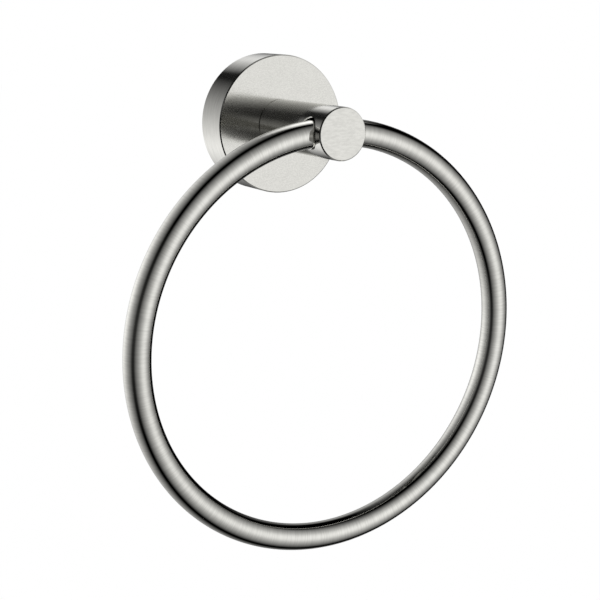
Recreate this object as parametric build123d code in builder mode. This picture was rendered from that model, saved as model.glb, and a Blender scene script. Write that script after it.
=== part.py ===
"""Wall-mounted towel ring: a round escutcheon, a turned post and a swinging ring of bent tube.

Millimetres. The wall is the plane Y = 0 and the object stands out of it towards -Y.
+Z is up, +X is to the right as seen from the front, and the post's axis is the Y axis.
"""

import os
from math import asin, cos, degrees, radians, sin, sqrt, tan

from build123d import *

# Escutcheon: the flat-fronted cup against the wall
escutcheon_d = 50.0
escutcheon_depth = 14.5
escutcheon_wall = 2.0
escutcheon_edge = 0.4  # chamfer round the front face
escutcheon_inner_fillet = 1.5

# Post: the turned bar that carries the ring
post_d = 18.3
post_projection = 57.5  # wall to the post's flat end
post_edge = 0.4  # chamfer round the flat end
post_seam = 0.35  # chamfer round the foot, which shows as a fine line on the escutcheon

# Ring: tube bent to an arc, with its two ends in the post
tube_d = 9.5
tube_wall = 1.0
ring_radius = 73.1  # ring's centre to the tube's centre line
ring_to_post_end = 8.5  # tube's centre line to the post's flat end
ring_end_reach = 5.0  # how far each end goes into the post

# Cross hole in the post that the ring's ends turn in
ring_clearance = 0.5  # between the tube and the hole, all round
ring_drop = 0.2  # the ring hangs this much below the middle of the hole
cross_hole_lip = 0.4  # chamfer round each mouth of the hole

# Post's fixing to the escutcheon, from inside
spigot_d = 8.0
spigot_clearance = 0.1
spigot_gap = 0.4  # spigot stops this short of the escutcheon's inner face
thread_clearance = 0.05  # threads are plain, drawn at their outer diameter
post_screw_d = 5.0
post_screw_length = 12.0
post_screw_head_d = 9.5
post_screw_head_h = 3.4
post_screw_head_fillet = 1.0
post_screw_socket = 3.0  # across flats
post_screw_socket_depth = 2.0
post_hole_spare = 2.0  # tapped hole runs on past the screw's tip
post_washer_d = 13.0
post_washer_t = 1.0
post_washer_clearance = 0.2

# Wall bracket: dished plate inside the escutcheon
bracket_clearance = 0.3  # to the inside of the escutcheon
bracket_depth = 9.0
bracket_web = 2.5  # thickness against the wall
bracket_rim = 5.0
bracket_edge = 0.5
slot_spacing = 22.0
slot_length = 7.0
slot_width = 4.5

# Bearing notch in the bracket's rim and the set screw that presses on it
notch_width = 10.0
notch_rise = 2.2  # bracket's edge to the bearing face, over the screw
notch_slope = 15.0  # degrees, so that tightening pulls the escutcheon to the wall
set_screw_d = 4.0
set_screw_from_wall = 5.0
set_screw_sunk = 0.3  # outer end lies this far inside the escutcheon's rim
set_screw_socket = 2.0  # across flats
set_screw_socket_depth = 1.6
set_screw_tip_r = 0.2  # flat on the cone point
set_screw_gap = 0.1  # point to the bearing face

# Worked out from the sizes above
escutcheon_r = escutcheon_d / 2
cup_inner_r = escutcheon_r - escutcheon_wall
cup_inner_depth = escutcheon_depth - escutcheon_wall
post_r = post_d / 2
tube_r = tube_d / 2
spigot_length = escutcheon_wall - spigot_gap
cross_hole_r = tube_r + ring_clearance
bracket_r = cup_inner_r - bracket_clearance
pocket_r = bracket_r - bracket_rim
washer_back = cup_inner_depth - post_washer_t  # where the screw's head bears

# The tube's centre line crosses the hole's middle halfway along its end
ring_from_wall = post_projection - ring_to_post_end
ring_end_x = post_r - ring_end_reach
ring_mid_x = post_r - ring_end_reach / 2
ring_centre_z = -ring_drop - sqrt(ring_radius**2 - ring_mid_x**2)
ring_end_angle = degrees(asin(ring_end_x / ring_radius))

# Bearing face of the notch: its height over the screw, at the wall and at the bracket's front
bearing_z = -bracket_r + notch_rise
bearing_z_wall = bearing_z + set_screw_from_wall * tan(radians(notch_slope))
bearing_z_front = bearing_z - (bracket_depth - set_screw_from_wall) * tan(radians(notch_slope))

wall = Plane.XZ  # its normal points away from the wall, so offsets are distances out from it


def from_behind(distance):
    """Plane at this distance from the wall that faces the wall."""
    return Plane(origin=(0, -distance, 0), x_dir=(1, 0, 0), z_dir=(0, 1, 0))


# Escutcheon: a drawn cup, open at the wall
with BuildPart() as escutcheon:
    with BuildSketch(wall):
        Circle(escutcheon_r)
    extrude(amount=escutcheon_depth)
    with BuildSketch(wall):
        Circle(cup_inner_r)
    extrude(amount=cup_inner_depth, mode=Mode.SUBTRACT)
    cup_edges = escutcheon.edges().filter_by(GeomType.CIRCLE).group_by(SortBy.RADIUS)[0]
    fillet(cup_edges.sort_by(Axis.Y)[0], escutcheon_inner_fillet)
    chamfer(escutcheon.edges().sort_by(Axis.Y)[0], escutcheon_edge)
    with Locations(wall.offset(escutcheon_depth)):
        Hole(spigot_d / 2 + spigot_clearance, depth=escutcheon_wall)
    underside = Plane(origin=(0, -set_screw_from_wall, -escutcheon_r), x_dir=(1, 0, 0), z_dir=(0, 0, -1))
    with Locations(underside):
        Hole(set_screw_d / 2, depth=escutcheon_wall + set_screw_d / 2)
escutcheon.part.label = "escutcheon"

# Post: a bar with a spigot and a tapped hole at its foot and a cross hole near its end
with BuildPart() as post:
    with BuildSketch(wall.offset(escutcheon_depth)):
        Circle(post_r)
    extrude(amount=post_projection - escutcheon_depth)
    chamfer(post.edges().sort_by(Axis.Y)[0], post_edge)
    chamfer(post.edges().sort_by(Axis.Y)[-1], post_seam)
    with BuildSketch(wall.offset(escutcheon_depth - spigot_length)):
        Circle(spigot_d / 2)
    extrude(amount=spigot_length)
    tapped_depth = post_screw_length - (escutcheon_depth - spigot_length - washer_back) + post_hole_spare
    with Locations(from_behind(escutcheon_depth - spigot_length)):
        Hole(post_screw_d / 2, depth=tapped_depth)
    across = Plane(origin=(0, -ring_from_wall, 0), x_dir=(0, 1, 0), z_dir=(1, 0, 0))
    with Locations(across):
        Hole(cross_hole_r)
    mouths = [e for e in post.edges() if e.geom_type not in (GeomType.CIRCLE, GeomType.LINE)]
    chamfer(mouths, cross_hole_lip)
post.part.label = "post"

# Post screw: button head with a hexagon socket, its head towards the wall
with BuildPart() as post_screw:
    with BuildSketch(wall.offset(washer_back - post_screw_head_h)):
        Circle(post_screw_head_d / 2)
    extrude(amount=post_screw_head_h)
    fillet(post_screw.edges().sort_by(Axis.Y)[-1], post_screw_head_fillet)
    with BuildSketch(wall.offset(washer_back)):
        Circle(post_screw_d / 2 - thread_clearance)
    extrude(amount=post_screw_length)
    with BuildSketch(wall.offset(washer_back - post_screw_head_h)):
        RegularPolygon(post_screw_socket / 2, 6, major_radius=False)
    extrude(amount=post_screw_socket_depth, mode=Mode.SUBTRACT)
post_screw.part.label = "post_screw"

# Post washer: between the screw's head and the inside of the escutcheon
with BuildPart() as post_washer:
    with BuildSketch(wall.offset(washer_back)):
        Circle(post_washer_d / 2)
        Circle(post_screw_d / 2 + post_washer_clearance, mode=Mode.SUBTRACT)
    extrude(amount=post_washer_t)
post_washer.part.label = "post_washer"

# Wall bracket: a dished disc with two slots for the wall screws and a bearing notch underneath
with BuildPart() as wall_bracket:
    with BuildSketch(wall):
        Circle(bracket_r)
    extrude(amount=bracket_depth)
    with BuildSketch(wall.offset(bracket_web)):
        Circle(pocket_r)
    extrude(amount=bracket_depth - bracket_web, mode=Mode.SUBTRACT)
    chamfer(wall_bracket.edges().group_by(Axis.Y)[0], bracket_edge)
    with BuildSketch(wall):
        with GridLocations(slot_spacing, 0, 2, 1):
            SlotOverall(slot_length, slot_width)
    extrude(amount=bracket_web, mode=Mode.SUBTRACT)
    with BuildSketch(Plane.YZ):
        with BuildLine():
            Polyline(
                (0, bearing_z_wall),
                (-bracket_depth, bearing_z_front),
                (-bracket_depth, -cup_inner_r),
                (0, -cup_inner_r),
                close=True,
            )
        make_face()
    extrude(amount=notch_width / 2, both=True, mode=Mode.SUBTRACT)
wall_bracket.part.label = "wall_bracket"

# Set screw: cone point up against the bearing face, hexagon socket facing down
set_screw_bottom = -escutcheon_r + set_screw_sunk
set_screw_top = bearing_z - set_screw_gap
set_screw_r = set_screw_d / 2 - thread_clearance
with BuildPart() as set_screw:
    with BuildSketch(Plane.XY.offset(set_screw_bottom)):
        with Locations((0, -set_screw_from_wall)):
            Circle(set_screw_r)
    extrude(amount=set_screw_top - set_screw_bottom)
    chamfer(set_screw.edges().sort_by(Axis.Z)[-1], set_screw_r - set_screw_tip_r)
    with BuildSketch(Plane.XY.offset(set_screw_bottom)):
        with Locations((0, -set_screw_from_wall)):
            RegularPolygon(set_screw_socket / 2, 6, major_radius=False)
    extrude(amount=set_screw_socket_depth, mode=Mode.SUBTRACT)
set_screw.part.label = "set_screw"

# Ring: the tube's section turned about the ring's axis, from the right end round to the left one
end_radial = (sin(radians(ring_end_angle)), 0, cos(radians(ring_end_angle)))
end_tangent = (cos(radians(ring_end_angle)), 0, -sin(radians(ring_end_angle)))
ring_centre = (0, -ring_from_wall, ring_centre_z)
end_centre = tuple(c + ring_radius * r for c, r in zip(ring_centre, end_radial))
with BuildPart() as ring:
    with BuildSketch(Plane(origin=end_centre, x_dir=end_radial, z_dir=end_tangent)):
        Circle(tube_r)
        Circle(tube_r - tube_wall, mode=Mode.SUBTRACT)
    revolve(axis=Axis(ring_centre, (0, 1, 0)), revolution_arc=360 - 2 * ring_end_angle)
ring.part.label = "ring"

os.makedirs("parts", exist_ok=True)
for piece in (wall_bracket, escutcheon, post, post_screw, post_washer, set_screw, ring):
    export_step(piece.part, f"parts/{piece.part.label}.step")
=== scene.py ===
# Towel ring in brushed nickel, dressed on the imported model. Metres, wall at y = 0, front towards -Y.
from math import cos, pi, radians, sin

import bpy
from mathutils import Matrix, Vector


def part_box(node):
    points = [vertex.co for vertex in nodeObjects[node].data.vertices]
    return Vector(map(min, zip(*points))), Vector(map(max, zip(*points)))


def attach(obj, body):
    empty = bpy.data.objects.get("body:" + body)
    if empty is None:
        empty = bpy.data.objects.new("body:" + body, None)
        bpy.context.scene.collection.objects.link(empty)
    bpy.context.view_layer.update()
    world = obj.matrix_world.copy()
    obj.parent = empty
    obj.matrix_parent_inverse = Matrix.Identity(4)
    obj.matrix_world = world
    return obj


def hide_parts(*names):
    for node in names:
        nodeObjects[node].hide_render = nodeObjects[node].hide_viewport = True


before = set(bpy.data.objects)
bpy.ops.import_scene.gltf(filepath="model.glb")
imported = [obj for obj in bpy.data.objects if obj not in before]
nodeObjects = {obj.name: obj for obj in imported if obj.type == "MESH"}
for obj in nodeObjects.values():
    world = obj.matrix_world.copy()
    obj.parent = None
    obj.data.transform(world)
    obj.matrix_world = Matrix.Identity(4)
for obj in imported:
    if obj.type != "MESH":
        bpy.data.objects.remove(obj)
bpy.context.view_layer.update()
mm = 0.001
print("frame loaded:", ", ".join(sorted(nodeObjects)))


def deselectAll():
    bpy.ops.object.select_all(action="DESELECT")


def keepPiece(name):  # names the object that was just added, with its place put into its mesh
    piece = bpy.context.object
    piece.name = name
    piece.data.name = name
    bpy.ops.object.transform_apply(location=True, rotation=True, scale=True)
    return piece


def applyModifier(piece, kind, **values):
    modifier = piece.modifiers.new(kind.title(), kind)
    for key, value in values.items():
        setattr(modifier, key, value)
    bpy.ops.object.modifier_apply(modifier=modifier.name)


def setMaterial(piece, material):
    piece.data.materials.clear()
    piece.data.materials.append(material)


# Node helpers for the finishes and the lamps


def newMaterial(name):
    material = bpy.data.materials.new(name)
    material.use_nodes = True
    tree = material.node_tree
    return material, tree, tree.nodes["Principled BSDF"]


def addNode(tree, kind, **values):
    node = tree.nodes.new(kind)
    for key, value in values.items():
        setattr(node, key, value)
    return node


def feed(tree, target, value):  # a socket is linked, anything else is set
    if isinstance(value, bpy.types.NodeSocket):
        tree.links.new(value, target)
    else:
        target.default_value = value


def objectPlace(tree):
    return addNode(tree, "ShaderNodeTexCoord").outputs["Object"]


def math(tree, operation, first, second=0.0, third=0.0):
    node = addNode(tree, "ShaderNodeMath", operation=operation)
    for socket, value in zip(node.inputs, (first, second, third)):
        feed(tree, socket, value)
    return node.outputs["Value"]


def noise(tree, vector, scale, detail=2.0, roughness=0.5):
    node = addNode(tree, "ShaderNodeTexNoise")
    feed(tree, node.inputs["Vector"], vector)
    feed(tree, node.inputs["Scale"], scale)
    feed(tree, node.inputs["Detail"], detail)
    feed(tree, node.inputs["Roughness"], roughness)
    return node.outputs["Fac"]


def remap(tree, value, low, high, start=0.3, end=0.7, curve="SMOOTHSTEP"):
    # without a start and an end it takes the range that noise mostly lies in
    node = addNode(tree, "ShaderNodeMapRange", interpolation_type=curve)
    numbers = {"Value": value, "From Min": start, "From Max": end, "To Min": low, "To Max": high}
    for key, number in numbers.items():
        feed(tree, node.inputs[key], number)
    return node.outputs["Result"]


def stretch(tree, vector, scale):
    node = addNode(tree, "ShaderNodeMapping")
    feed(tree, node.inputs["Vector"], vector)
    feed(tree, node.inputs["Scale"], scale)
    return node.outputs["Vector"]


def blend(tree, factor, first, second, kind="FLOAT"):
    node = addNode(tree, "ShaderNodeMix", data_type=kind)
    feed(tree, node.inputs["Factor"], factor)
    feed(tree, node.inputs["A"], first)
    feed(tree, node.inputs["B"], second)
    return node.outputs["Result"]


def addShares(tree, first, second, share):  # this share of the first and the rest of the second
    return math(tree, "MULTIPLY_ADD", first, share, math(tree, "MULTIPLY", second, 1 - share))


def addBump(tree, shader, height, strength, depth):
    bump = addNode(tree, "ShaderNodeBump")
    feed(tree, bump.inputs["Strength"], strength)
    feed(tree, bump.inputs["Distance"], depth)
    feed(tree, bump.inputs["Height"], height)
    feed(tree, shader.inputs["Normal"], bump.outputs["Normal"])


# Ring: a circle spun round the loop's axis, open inside the post
ringSizes = {
    "tubeRadius": 4.75 * mm,
    "wall": 1.0 * mm,
    "endAngle": radians(3.25),  # from the top of the loop to each end
    "tubeSides": 72,
    "loopSteps": 420,
    "smoothAngle": radians(40),
}


def ringPlace():  # middle of the loop and the radius of the tube's centre line
    low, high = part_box("ring")
    loopRadius = (high.x - low.x) / 2 - ringSizes["tubeRadius"]
    centre = Vector(((low.x + high.x) / 2, (low.y + high.y) / 2, low.z + (high.x - low.x) / 2))
    return centre, loopRadius


def makeRing():
    centre, loopRadius = ringPlace()
    endAngle = ringSizes["endAngle"]
    start = centre + loopRadius * Vector((sin(endAngle), 0, cos(endAngle)))
    deselectAll()
    bpy.ops.mesh.primitive_circle_add(
        vertices=ringSizes["tubeSides"],
        radius=ringSizes["tubeRadius"],
        location=start,
        rotation=(0, pi / 2 + endAngle, 0),
    )
    piece = keepPiece("ringTube")
    bpy.ops.object.mode_set(mode="EDIT")
    bpy.ops.mesh.select_all(action="SELECT")
    bpy.ops.mesh.spin(
        steps=ringSizes["loopSteps"],
        angle=-2 * (pi - endAngle),
        center=centre,
        axis=(0, 1, 0),
    )
    bpy.ops.mesh.select_all(action="SELECT")
    bpy.ops.mesh.normals_make_consistent(inside=False)
    bpy.ops.object.mode_set(mode="OBJECT")
    applyModifier(piece, "SOLIDIFY", thickness=ringSizes["wall"], offset=-1.0)
    bpy.ops.object.shade_smooth_by_angle(angle=ringSizes["smoothAngle"])
    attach(piece, "ring")
    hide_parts("ring")
    return piece


ringTube = makeRing()
print("ring modelled:", len(ringTube.data.polygons), "faces")

# Brushed nickel: warm grey metal with a fine grain that follows how each piece was brushed
nickel = {
    "light": (0.782, 0.775, 0.734, 1.0),
    "dark": (0.643, 0.637, 0.604, 1.0),
    "streakShare": 0.7,  # of the tone, the rest is a wider blotch
    "blotchScale": 130.0,
    "grainDetail": 3.0,
    "grainRoughness": 0.6,
    "bump": 0.10,
    "bumpDepth": 0.02 * mm,
}
tubeBrush = {
    "stretch": (1700, 160, 160),  # lines round the tube: along the loop, in depth, away from its middle
    "roughness": (0.045, 0.075),  # where the grain is dark and where it is light
}
turnedBrush = {  # for the post and the escutcheon alike
    "faceRoughness": (0.11, 0.14),
    "edgeRoughness": (0.04, 0.06),  # chamfers, which were left sharp and bright
    "faceLean": 0.9,  # flat faces point along y by more than this
    "edgeLean": (0.7, 0.1),  # chamfers by about this, give or take
}
postBrush = {
    "faceStretch": (420, 420, 1300),
    "sideStretch": (160, 1700, 160),
    "sideRoughness": (0.10, 0.14),
}
escutcheonBrush = {
    "faceStretch": (1500, 1500, 2800),
    "sideStretch": (160, 1600, 160),
    "sideRoughness": (0.09, 0.12),
}


def brushGrain(tree, place, scale):
    lines = stretch(tree, place, scale)
    return noise(tree, lines, 1.0, nickel["grainDetail"], nickel["grainRoughness"])


def finishNickel(tree, shader, place, grain, roughness):
    blotch = noise(tree, place, nickel["blotchScale"])
    tone = addShares(tree, remap(tree, grain, 0.0, 1.0), blotch, nickel["streakShare"])
    feed(tree, shader.inputs["Base Color"], blend(tree, tone, nickel["dark"], nickel["light"], "RGBA"))
    feed(tree, shader.inputs["Roughness"], blend(tree, tone, *roughness))
    feed(tree, shader.inputs["Metallic"], 1.0)
    addBump(tree, shader, grain, nickel["bump"], nickel["bumpDepth"])


def ringFinish():
    material, tree, shader = newMaterial("brushedNickelRing")
    centre, loopRadius = ringPlace()
    offset = addNode(tree, "ShaderNodeVectorMath", operation="SUBTRACT")
    feed(tree, offset.inputs[0], objectPlace(tree))
    feed(tree, offset.inputs[1], centre)
    split = addNode(tree, "ShaderNodeSeparateXYZ")
    feed(tree, split.inputs[0], offset.outputs[0])
    across, depth, height = split.outputs
    below = math(tree, "MULTIPLY", height, -1.0)
    angle = math(tree, "ARCTAN2", across, below)  # its seam is inside the post
    squares = [math(tree, "POWER", length, 2.0) for length in (across, height)]
    reach = math(tree, "SQRT", math(tree, "ADD", *squares))
    along = addNode(tree, "ShaderNodeCombineXYZ")
    feed(tree, along.inputs[0], math(tree, "MULTIPLY", angle, loopRadius))
    feed(tree, along.inputs[1], depth)
    feed(tree, along.inputs[2], math(tree, "SUBTRACT", reach, loopRadius))
    place = along.outputs[0]
    grain = brushGrain(tree, place, tubeBrush["stretch"])
    finishNickel(tree, shader, place, grain, tubeBrush["roughness"])
    return material


def turnedFinish(name, brush):
    material, tree, shader = newMaterial(name)
    place = objectPlace(tree)
    faceGrain = brushGrain(tree, place, brush["faceStretch"])
    sideGrain = brushGrain(tree, place, brush["sideStretch"])
    normal = addNode(tree, "ShaderNodeSeparateXYZ")
    feed(tree, normal.inputs[0], addNode(tree, "ShaderNodeTexCoord").outputs["Normal"])
    lean = math(tree, "ABSOLUTE", normal.outputs["Y"])
    onFace = math(tree, "GREATER_THAN", lean, turnedBrush["faceLean"])
    onEdge = math(tree, "COMPARE", lean, *turnedBrush["edgeLean"])
    grain = blend(tree, onFace, sideGrain, faceGrain)
    rough = brush["sideRoughness"]
    for mask, key in ((onFace, "faceRoughness"), (onEdge, "edgeRoughness")):
        rough = [blend(tree, mask, *pair) for pair in zip(rough, turnedBrush[key])]
    finishNickel(tree, shader, place, grain, rough)
    return material


# Plain metals of the hidden pieces: mottled, with a fine even grain
castZinc = {
    "colour": (0.62, 0.63, 0.65),
    "roughness": 0.40,
    "grainScale": 1100.0,
    "bumpDepth": 0.25 * mm,
}
screwSteel = {
    "colour": (0.55, 0.55, 0.56),
    "roughness": 0.28,
    "grainScale": 2400.0,
    "bumpDepth": 0.05 * mm,
}
plainGrain = {
    "detail": 4.0,
    "roughness": 0.6,
    "mottleScale": 0.2,  # against the grain's own scale
    "mottleDetail": 3.0,
    "mottleShare": 0.6,  # of the tone, the rest is the grain
    "darkest": 0.84,  # times the colour
    "lightest": 1.08,
    "glossChange": 0.08,  # rougher where dark, smoother where light
    "bump": 0.3,
}


def plainMetal(name, metal):
    material, tree, shader = newMaterial(name)
    place = objectPlace(tree)
    grain = noise(tree, place, metal["grainScale"], plainGrain["detail"], plainGrain["roughness"])
    mottleScale = metal["grainScale"] * plainGrain["mottleScale"]
    mottle = noise(tree, place, mottleScale, plainGrain["mottleDetail"])
    tone = addShares(tree, remap(tree, mottle, 0.0, 1.0), grain, plainGrain["mottleShare"])
    dark = tuple(plainGrain["darkest"] * channel for channel in metal["colour"]) + (1.0,)
    light = tuple(plainGrain["lightest"] * channel for channel in metal["colour"]) + (1.0,)
    feed(tree, shader.inputs["Base Color"], blend(tree, tone, dark, light, "RGBA"))
    change = plainGrain["glossChange"]
    rough = remap(tree, tone, metal["roughness"] + change, metal["roughness"] - change)
    feed(tree, shader.inputs["Roughness"], rough)
    feed(tree, shader.inputs["Metallic"], 1.0)
    addBump(tree, shader, grain, plainGrain["bump"], metal["bumpDepth"])
    return material


setMaterial(ringTube, ringFinish())
setMaterial(nodeObjects["post"], turnedFinish("brushedNickelPost", postBrush))
setMaterial(nodeObjects["escutcheon"], turnedFinish("brushedNickelEscutcheon", escutcheonBrush))
setMaterial(nodeObjects["wall_bracket"], plainMetal("castZinc", castZinc))
steel = plainMetal("screwSteel", screwSteel)
screwNames = ("post_screw", "post_washer", "set_screw")
for name in screwNames:
    setMaterial(nodeObjects[name], steel)
print("finishes made:", len(bpy.data.materials))

# Studio: the ring and the wall mount have a light tent each, set up round the same object
studio = {
    "floorDrop": 1.25,
    "floorSize": 40.0,
    "white": (1.0, 1.0, 1.0, 1.0),
    "tentSides": 96,  # round it, and half as many from top to bottom
    "cardSides": 64,
}
ringTent = {
    "radius": 1.15,
    "brightSide": (27, -3),  # degrees to the right of the front and degrees up
    "glow": 1.2,
    "shades": {  # share of the glow by degrees from the bright side
        0: 0.92, 12: 0.84, 22: 0.69, 30: 0.54, 46: 0.325, 62: 0.155, 68: 0.095, 74: 0.025, 79: 0.0,
        88: 0.0, 93: 0.02, 98: 0.07, 104: 0.125, 110: 0.175, 126: 0.33, 142: 0.54, 158: 0.795, 174: 1.0,
    },
    "flags": {  # dark patches: degrees right of the front, degrees up, core, reach, share let through
        "rightAbove": (118, 45, 20, 35, 0.0),
        "rightBehind": (122, -10, 14, 32, 0.0),
    },
    "lowFlag": (-140, 75, 5, 65, 0.15),  # another one, for the lower part of the ring
    "lowReach": (1.14, 1.18),  # how far from the tent that part lies
    "leftFill": (-57, 0, 5, 40, 0.03),  # soft card: the same with its glow
    "echo": 0.15,  # even glow where the ring is only seen mirrored twice
}
mountTent = {
    "radius": 1.05,
    "fill": 0.012,
    "cards": {  # degrees right of the front, degrees up, even core, reach in degrees, glow
        "key": (30, -4, 10, 55, 0.99),
        "lowBack": (-158, -18, 2, 49, 1.12),
        "highBack": (160, 28, 4, 19, 0.78),
        "cameraSide": (-36, -3, 6, 24, 0.22),
        "veil": (-22, 18, 8, 40, 0.022),
    },
    "sideCards": {  # the same, for what is seen straight and not in another piece
        "rightSide": (110, 28, 15, 50, 0.75),
        "leftSide": (-105, 22, 12, 40, 0.60),
        "leftLow": (-110, -40, 10, 36, 0.35),
        "rightLow": (98, -40, 10, 38, 0.35),
        "overhead": (180, 72, 10, 38, 0.55),
        "underneath": (0, -85, 8, 29, 0.30),
        "lowLeft": (-46, -16, 6, 15, 0.35),
    },
    "flags": {  # dark patches: the same, with the share of light that they let through
        "frontBelow": (-6, -49, 8, 41, 0.0),
        "backBelow": (155, -24, 0, 30, 0.4),
    },
    "wedgeFlag": (3, -30, 14, 34, 0.5),  # another one, for the post where the escutcheon mirrors it
}
edgeCard = {  # draws the bright line on the tube, left of the post
    "place": Vector((48, 14, 100)) * mm,
    "aim": Vector((-13, -49, 4)) * mm,
    "radius": 70 * mm,
    "glow": 1.9,
    "near": (122 * mm, 128 * mm),  # fades out this close: the tube's right end, and the ring when raised
    "far": (150 * mm, 168 * mm),  # and this far away
}
neckTent = {  # lifts the post's neck where the tube mirrors it
    "radius": 0.6,
    "centre": Vector((-9, -70, 2)) * mm,
    "near": (14.8 * mm, 17.2 * mm),  # it lights what lies this close to its centre
    "glow": 0.26,
}


def aimAt(side, rise):  # unit vector from degrees to the right of the front and degrees up
    side, rise = radians(side), radians(rise)
    return Vector((sin(side) * cos(rise), -cos(side) * cos(rise), sin(rise)))


def angleFrom(tree, direction):  # from the tent's middle, in radians
    unit = addNode(tree, "ShaderNodeVectorMath", operation="NORMALIZE")
    feed(tree, unit.inputs[0], objectPlace(tree))
    dot = addNode(tree, "ShaderNodeVectorMath", operation="DOT_PRODUCT")
    feed(tree, dot.inputs[0], unit.outputs[0])
    feed(tree, dot.inputs[1], direction)
    return math(tree, "ARCCOSINE", dot.outputs["Value"])


def softPatch(tree, side, rise, core, reach, middle, outside=0.0):  # even out to its core, then fades
    angle = angleFrom(tree, aimAt(side, rise))
    return remap(tree, angle, middle, outside, radians(core), radians(reach), "LINEAR")


def mirrored(tree, times):  # 1 where more than this many reflections come before the eye
    depth = addNode(tree, "ShaderNodeLightPath").outputs["Ray Depth"]
    return math(tree, "GREATER_THAN", depth, times + 0.5)


def reachOf(tree):  # from the lit point to the lamp
    return addNode(tree, "ShaderNodeLightPath").outputs["Ray Length"]


def addCards(tree, total, cards):
    for card in cards.values():
        total = math(tree, "ADD", total, softPatch(tree, *card))
    return total


def addFlags(tree, total, flags):
    for flag in flags.values():
        total = math(tree, "MULTIPLY", total, softPatch(tree, *flag, outside=1.0))
    return total


def ringGlow(tree):
    ramp = addNode(tree, "ShaderNodeValToRGB")
    stops = ramp.color_ramp.elements
    for index, (angle, share) in enumerate(ringTent["shades"].items()):
        stop = stops[index] if index < 2 else stops.new(angle / 180)  # a new ramp has two stops
        stop.position = angle / 180
        stop.color = (share, share, share, 1.0)
    fromBright = angleFrom(tree, aimAt(*ringTent["brightSide"]))
    feed(tree, ramp.inputs["Fac"], math(tree, "DIVIDE", fromBright, pi))
    total = math(tree, "MULTIPLY", ramp.outputs["Color"], ringTent["glow"])
    total = addFlags(tree, total, ringTent["flags"])
    low = remap(tree, reachOf(tree), 0.0, 1.0, *ringTent["lowReach"])
    lowShare = blend(tree, low, 1.0, softPatch(tree, *ringTent["lowFlag"], outside=1.0))
    total = math(tree, "MULTIPLY", total, lowShare)
    total = math(tree, "ADD", total, softPatch(tree, *ringTent["leftFill"]))
    return blend(tree, mirrored(tree, 2), total, ringTent["echo"])


def mountGlow(tree):
    total = addCards(tree, mountTent["fill"], mountTent["sideCards"])
    total = blend(tree, mirrored(tree, 1), total, mountTent["fill"])
    total = addCards(tree, total, mountTent["cards"])
    total = addFlags(tree, total, mountTent["flags"])
    dimmed = softPatch(tree, *mountTent["wedgeFlag"], outside=1.0)
    return math(tree, "MULTIPLY", total, blend(tree, mirrored(tree, 1), 1.0, dimmed))


def edgeGlow(tree):  # brightest in the middle of the card
    fromMiddle = addNode(tree, "ShaderNodeVectorMath", operation="LENGTH")
    feed(tree, fromMiddle.inputs[0], objectPlace(tree))
    outward = fromMiddle.outputs["Value"]
    glow = remap(tree, outward, edgeCard["glow"], 0.0, 0.0, edgeCard["radius"], "LINEAR")
    glow = math(tree, "MULTIPLY", glow, remap(tree, reachOf(tree), 0.0, 1.0, *edgeCard["near"]))
    glow = math(tree, "MULTIPLY", glow, remap(tree, reachOf(tree), 1.0, 0.0, *edgeCard["far"]))
    return blend(tree, mirrored(tree, 1), glow, 0.0)


def neckGlow(tree):
    offCentre = math(tree, "ABSOLUTE", math(tree, "SUBTRACT", reachOf(tree), neckTent["radius"]))
    glow = remap(tree, offCentre, neckTent["glow"], 0.0, *neckTent["near"])
    return math(tree, "MULTIPLY", glow, mirrored(tree, 1))


def lightOnly(lamp, makeGlow, pieces, seeThrough):  # makes a mesh glow, and light only these pieces
    name = lamp.name
    material = bpy.data.materials.new(name + "Cloth")
    material.use_nodes = True
    material.cycles.emission_sampling = "NONE"
    tree = material.node_tree
    tree.nodes.clear()
    light = addNode(tree, "ShaderNodeEmission")
    feed(tree, light.inputs["Strength"], makeGlow(tree))
    surface = light.outputs[0]
    if seeThrough:
        both = addNode(tree, "ShaderNodeAddShader")
        feed(tree, both.inputs[0], surface)
        feed(tree, both.inputs[1], addNode(tree, "ShaderNodeBsdfTransparent").outputs[0])
        surface = both.outputs[0]
    out = addNode(tree, "ShaderNodeOutputMaterial")
    feed(tree, out.inputs["Surface"], surface)
    setMaterial(lamp, material)
    lamp.visible_camera = False  # the picture looks in through it
    lamp.visible_diffuse = False
    lamp.visible_shadow = False
    lit = bpy.data.collections.new(name + "Pieces")
    for piece in pieces:
        lit.objects.link(piece)
    lamp.light_linking.receiver_collection = lit


def lightTent(name, radius, centre, makeGlow, pieces, seeThrough):
    sides = studio["tentSides"]
    deselectAll()
    bpy.ops.mesh.primitive_uv_sphere_add(
        segments=sides, ring_count=sides // 2, radius=radius, location=centre
    )
    bpy.context.object.name = name
    bpy.ops.object.shade_smooth()
    lightOnly(bpy.context.object, makeGlow, pieces, seeThrough)


def lightCard(name, card, makeGlow, pieces):
    facing = (card["aim"] - card["place"]).to_track_quat("Z", "Y").to_euler()
    deselectAll()
    bpy.ops.mesh.primitive_circle_add(
        vertices=studio["cardSides"],
        radius=card["radius"],
        fill_type="NGON",
        location=card["place"],
        rotation=facing,
    )
    bpy.context.object.name = name
    lightOnly(bpy.context.object, makeGlow, pieces, seeThrough=True)


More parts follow.
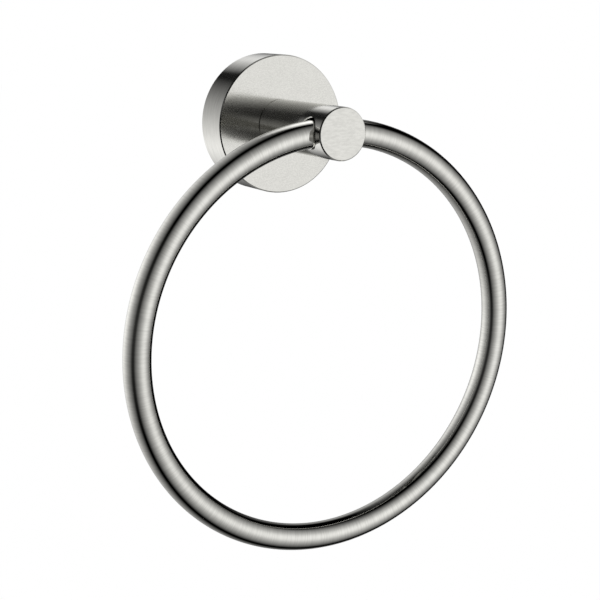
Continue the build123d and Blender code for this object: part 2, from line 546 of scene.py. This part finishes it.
def paleFloor():
    deselectAll()
    bpy.ops.mesh.primitive_plane_add(size=studio["floorSize"], location=(0, 0, -studio["floorDrop"]))
    floor = bpy.context.object
    floor.name = "studioFloor"
    material, tree, shader = newMaterial("whiteFloor")
    feed(tree, shader.inputs["Base Color"], studio["white"])
    feed(tree, shader.inputs["Roughness"], 1.0)
    feed(tree, shader.inputs["Specular IOR Level"], 0.0)
    setMaterial(floor, material)


def whiteWorld():
    world = bpy.data.worlds.new("whiteStudio")
    bpy.context.scene.world = world
    world.use_nodes = True
    background = world.node_tree.nodes["Background"]
    background.inputs["Color"].default_value = studio["white"]
    background.inputs["Strength"].default_value = 1.0


mountPieces = [nodeObjects["post"], nodeObjects["escutcheon"]]
otherPieces = [ringTube] + [nodeObjects[name] for name in ("wall_bracket", *screwNames)]
ringCentre = ringPlace()[0]
lightTent("ringTent", ringTent["radius"], ringCentre, ringGlow, otherPieces, seeThrough=False)
lightTent("mountTent", mountTent["radius"], ringCentre, mountGlow, mountPieces, seeThrough=True)
lightTent("neckTent", neckTent["radius"], neckTent["centre"], neckGlow, mountPieces, seeThrough=True)
lightCard("edgeCard", edgeCard, edgeGlow, [ringTube])
paleFloor()
whiteWorld()
bpy.context.scene.view_settings.view_transform = "Standard"
print("studio lit")

# Camera: from the left and a little above
view = {
    "side": -29.593,  # degrees to the right of the front
    "rise": 12.772,  # degrees up
    "distance": 467.59 * mm,
    "lens": 78.045,
    "sensor": 36.0,
    "clip": (0.01, 100.0),
    "aim": Vector((-3.909, -35.0, -61.08)) * mm,
}


def placeCamera():
    back = aimAt(view["side"], view["rise"])
    data = bpy.data.cameras.new("studioCamera")
    data.lens = view["lens"]
    data.sensor_width = view["sensor"]
    data.clip_start, data.clip_end = view["clip"]
    camera = bpy.data.objects.new("studioCamera", data)
    bpy.context.scene.collection.objects.link(camera)
    camera.location = view["aim"] + back * view["distance"]
    camera.rotation_euler = (-back).to_track_quat("-Z", "Y").to_euler()
    bpy.context.scene.camera = camera
    print("camera at", [round(c, 4) for c in camera.location], "turned", view["side"])


placeCamera()
